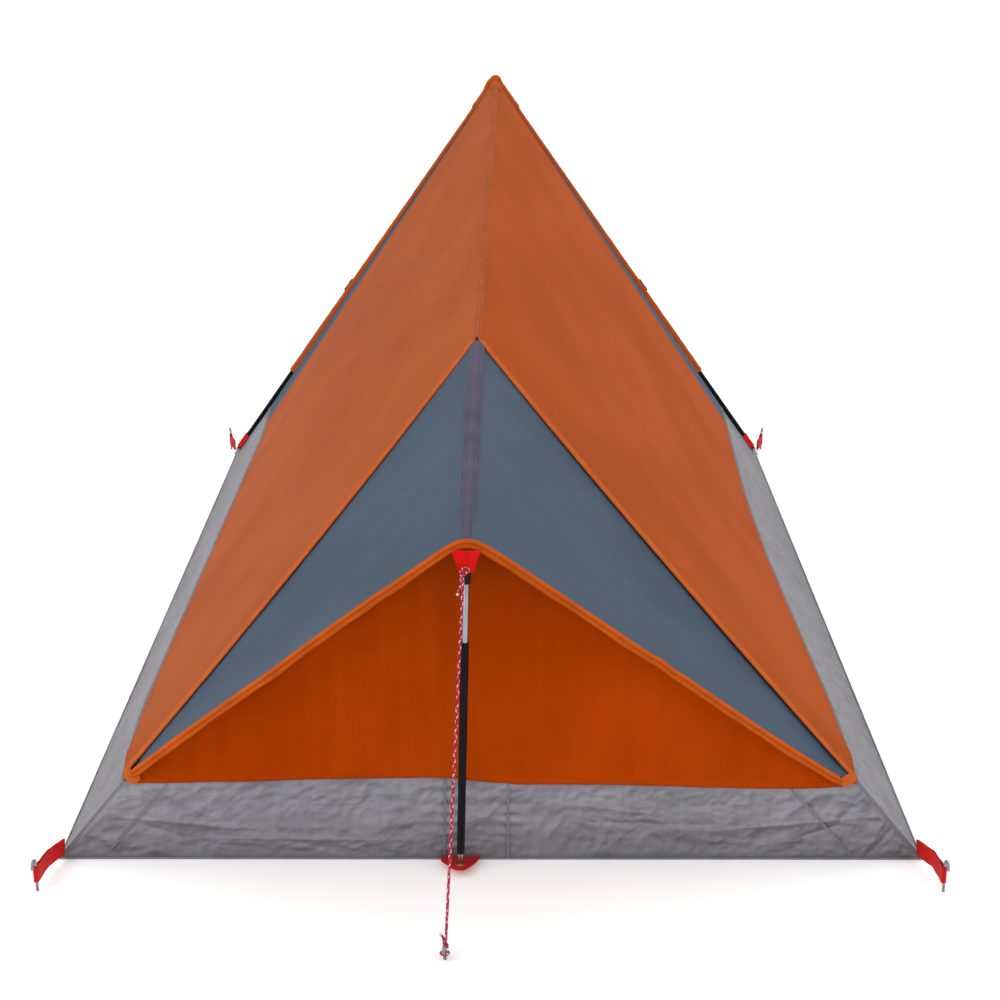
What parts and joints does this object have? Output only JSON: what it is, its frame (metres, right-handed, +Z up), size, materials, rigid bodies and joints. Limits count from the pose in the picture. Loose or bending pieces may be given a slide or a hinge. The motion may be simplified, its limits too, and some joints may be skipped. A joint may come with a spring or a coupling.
{
  "type": "a frame tent",
  "caption": "Low ridge tent with a pitched-leg frame at the door end, a short telescopic rear pole, a bathtub floor, zipped doors, pegs and guy lines.",
  "frame": {"origin": "on the ground at the centre of the groundsheet, on its underside", "axes": "+Y along the tent towards the door end, +X to the right seen from the foot end, +Z up"},
  "size_m": [1.2608, 2.8239, 1.028],
  "materials": {
    "groundsheet": "woven polyethylene sheet, slightly glossy",
    "band": "woven polyethylene sheet, crinkled, slightly glossy",
    "orange_roof": "coated polyester, soft sheen",
    "orange_wall": "coated polyester, soft sheen",
    "grey_roof": "coated polyester, blue-grey, soft sheen",
    "binding": "folded polyester tape with lock stitching",
    "sleeve": "double layer of coated polyester",
    "pole_black": "satin black powder coat",
    "pole_silver": "drawn tube, bright",
    "tip_steel": "turned, zinc plated",
    "shock_cord": "braided elastic",
    "black_plastic": "moulded, fine grain",
    "toggle": "turned hardwood, waxed",
    "webbing": "woven polypropylene webbing",
    "eyelet": "pressed brass, dulled",
    "cord": "braided cord, crimson with pale flecks",
    "peg_steel": "zinc plated wire",
    "door_fabric": "coated polyester, blue-grey",
    "mesh": "fine insect mesh",
    "zip_tape": "woven tape with nylon coil",
    "zip_metal": "black enamel over zinc"
  },
  "bodies": {
    "tent": {"band_front": "band", "band_left": "band", "band_rear": "band", "band_right": "band", "corner_loop_front_left": "webbing", "corner_loop_front_right": "webbing", "corner_loop_rear_left": "webbing", "corner_loop_rear_right": "webbing", "door_toggles": "toggle", "eave_binding": "binding", "foot_pocket_left": "webbing", "foot_pocket_right": "webbing", "front_gusset": "grey_roof", "front_guy_line": "cord", "front_roof_left": "grey_roof", "front_roof_right": "grey_roof", "groundsheet": "groundsheet", "leg_ferrules": "pole_silver", "leg_left_lower": "pole_black", "leg_left_upper": "pole_black", "leg_right_lower": "pole_black", "leg_right_upper": "pole_black", "leg_tips": "tip_steel", "peak_cap": "sleeve", "peak_hub": "black_plastic", "peak_loop": "webbing", "pole_sleeve_left": "sleeve", "pole_sleeve_right": "sleeve", "rear_foot_eyelet": "eyelet", "rear_foot_tab": "webbing", "rear_guy_line": "cord", "rear_pole_bush": "black_plastic", "rear_pole_lower": "pole_black", "rear_pole_spike": "tip_steel", "rear_roof_left": "grey_roof", "rear_roof_right": "grey_roof", "rear_top_eyelet": "eyelet", "rear_top_tab": "webbing", "rear_wall": "orange_wall", "ridge_tape": "binding", "shock_cords": "shock_cord", "side_panel_left": "orange_roof", "side_panel_right": "orange_roof"},
    "rear_pole_upper": {"rear_pole_inner": "pole_silver", "rear_pole_cap": "black_plastic"},
    "door_left": {"door_left_panel": "door_fabric", "door_left_mesh": "mesh", "zip_tape_left": "zip_tape"},
    "door_right": {"door_right_panel": "door_fabric", "door_right_mesh": "mesh", "zip_tape_right": "zip_tape"},
    "zip_slider": {"zip_slider": "zip_metal"},
    "zip_pull": {"zip_pull": "zip_metal"},
    "peg_rear_left": {"peg_rear_left": "peg_steel"},
    "peg_rear_right": {"peg_rear_right": "peg_steel"},
    "peg_front_left": {"peg_front_left": "peg_steel"},
    "peg_front_right": {"peg_front_right": "peg_steel"},
    "peg_rear_guy": {"peg_rear_guy": "peg_steel"},
    "peg_front_guy": {"peg_front_guy": "peg_steel"}
  },
  "joints": [
    {"name": "rear_pole_telescope", "type": "slide", "parent": "tent", "child": "rear_pole_upper", "axis": [0.0242, -0.0066, 0.9997], "range_m": [-0.08, 0]},
    {"name": "door_left_swing", "type": "hinge", "parent": "tent", "child": "door_left", "pos_m": [-0.3099, 0.95895, 0.40408], "axis": [0.5765, -0.036, 0.8163], "range_deg": [0, 160]},
    {"name": "door_right_swing", "type": "hinge", "parent": "tent", "child": "door_right", "pos_m": [0.3099, 0.95895, 0.40408], "axis": [0.5765, 0.036, -0.8163], "range_deg": [0, 160]},
    {"name": "zip_slide", "type": "slide", "parent": "door_left", "child": "zip_slider", "axis": [0, -0.0441, 0.999], "range_m": [0, 0.68]},
    {"name": "zip_pull_flip", "type": "hinge", "parent": "zip_slider", "child": "zip_pull", "pos_m": [0, 0.98072, 0.06971], "axis": [1, 0, 0], "range_deg": [0, 160]},
    {"name": "peg_rear_left_pull", "type": "slide", "parent": "tent", "child": "peg_rear_left", "axis": [0, 0, 1], "range_m": [0, 0.16]},
    {"name": "peg_rear_right_pull", "type": "slide", "parent": "tent", "child": "peg_rear_right", "axis": [0, 0, 1], "range_m": [0, 0.16]},
    {"name": "peg_front_left_pull", "type": "slide", "parent": "tent", "child": "peg_front_left", "axis": [0, 0, 1], "range_m": [0, 0.16]},
    {"name": "peg_front_right_pull", "type": "slide", "parent": "tent", "child": "peg_front_right", "axis": [0, 0, 1], "range_m": [0, 0.16]},
    {"name": "peg_rear_guy_pull", "type": "slide", "parent": "tent", "child": "peg_rear_guy", "axis": [0, 0, 1], "range_m": [0, 0.16]},
    {"name": "peg_front_guy_pull", "type": "slide", "parent": "tent", "child": "peg_front_guy", "axis": [0, 0, 1], "range_m": [0, 0.16]}
  ]
}
